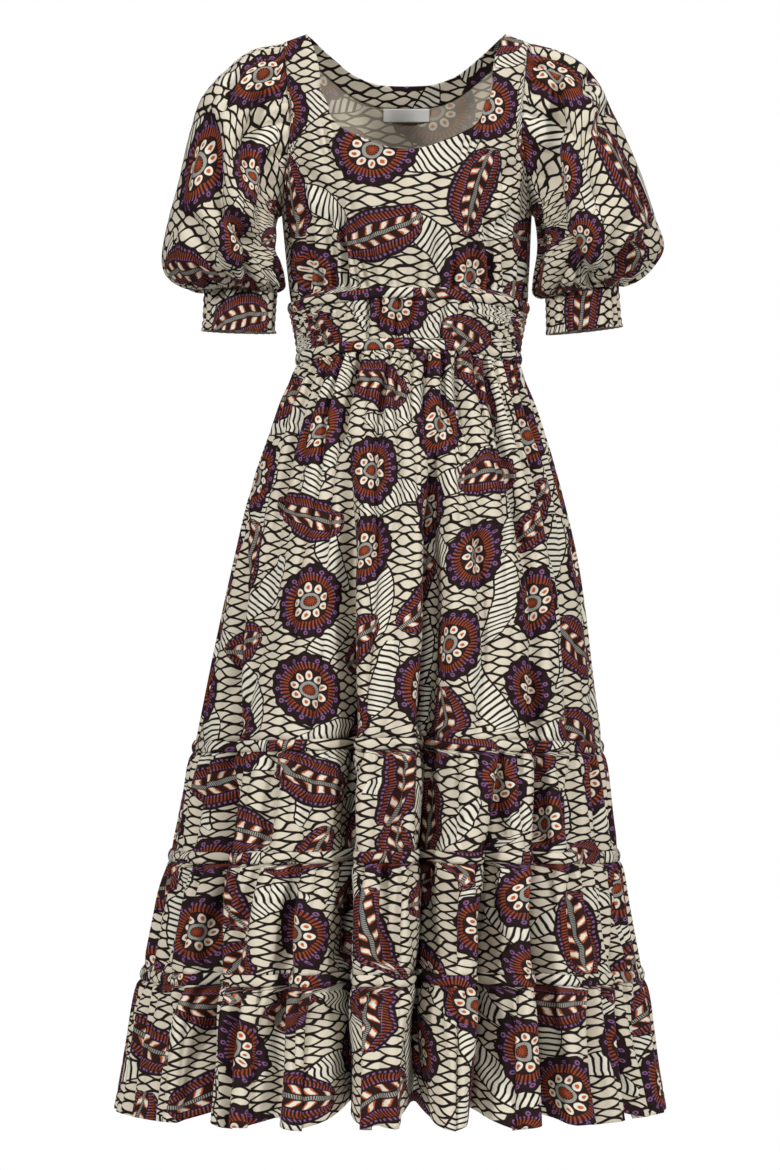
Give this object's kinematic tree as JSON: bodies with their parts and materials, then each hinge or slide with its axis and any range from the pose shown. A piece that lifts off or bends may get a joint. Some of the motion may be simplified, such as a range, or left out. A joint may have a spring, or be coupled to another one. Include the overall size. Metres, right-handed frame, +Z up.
{
  "type": "puff sleeve midi dress",
  "caption": "Worn-shape midi dress: scoop neck, gathered puff sleeves with shirred cuffs, shirred waist band and a full skirt of gathered tiers parted by narrow tapes.",
  "frame": {"origin": "midway between the two points where the shoulder seams meet the neck edge, where the shoulders carry the dress", "axes": "+Z up, the front faces -Y, +X is the wearer's left"},
  "size_m": [0.6064, 0.4956, 1.1787],
  "materials": {
    "print_cloth": "printed plain-weave cotton, matt",
    "tape_cloth": "the same printed cotton as a narrow stitched band",
    "facing_cloth": "the same printed cotton, turned inside",
    "label_cloth": "plain woven label, bare"
  },
  "bodies": {
    "root": {"bodice_back": "print_cloth", "bodice_front": "print_cloth", "cuff_left": "print_cloth", "cuff_right": "print_cloth", "label": "label_cloth", "neck_facing_back": "facing_cloth", "skirt_tier_1_back": "print_cloth", "skirt_tier_1_front": "print_cloth", "skirt_tier_2_back": "print_cloth", "skirt_tier_2_front": "print_cloth", "skirt_tier_3_back": "print_cloth", "skirt_tier_3_front": "print_cloth", "skirt_tier_4_back": "print_cloth", "skirt_tier_4_front": "print_cloth", "sleeve_left": "print_cloth", "sleeve_right": "print_cloth", "tier_tape_1": "tape_cloth", "tier_tape_2": "tape_cloth", "tier_tape_3": "tape_cloth", "waist_panel_back": "print_cloth", "waist_panel_front": "print_cloth", "waist_tape_lower": "tape_cloth", "waist_tape_upper": "tape_cloth"}
  },
  "joints": []
}
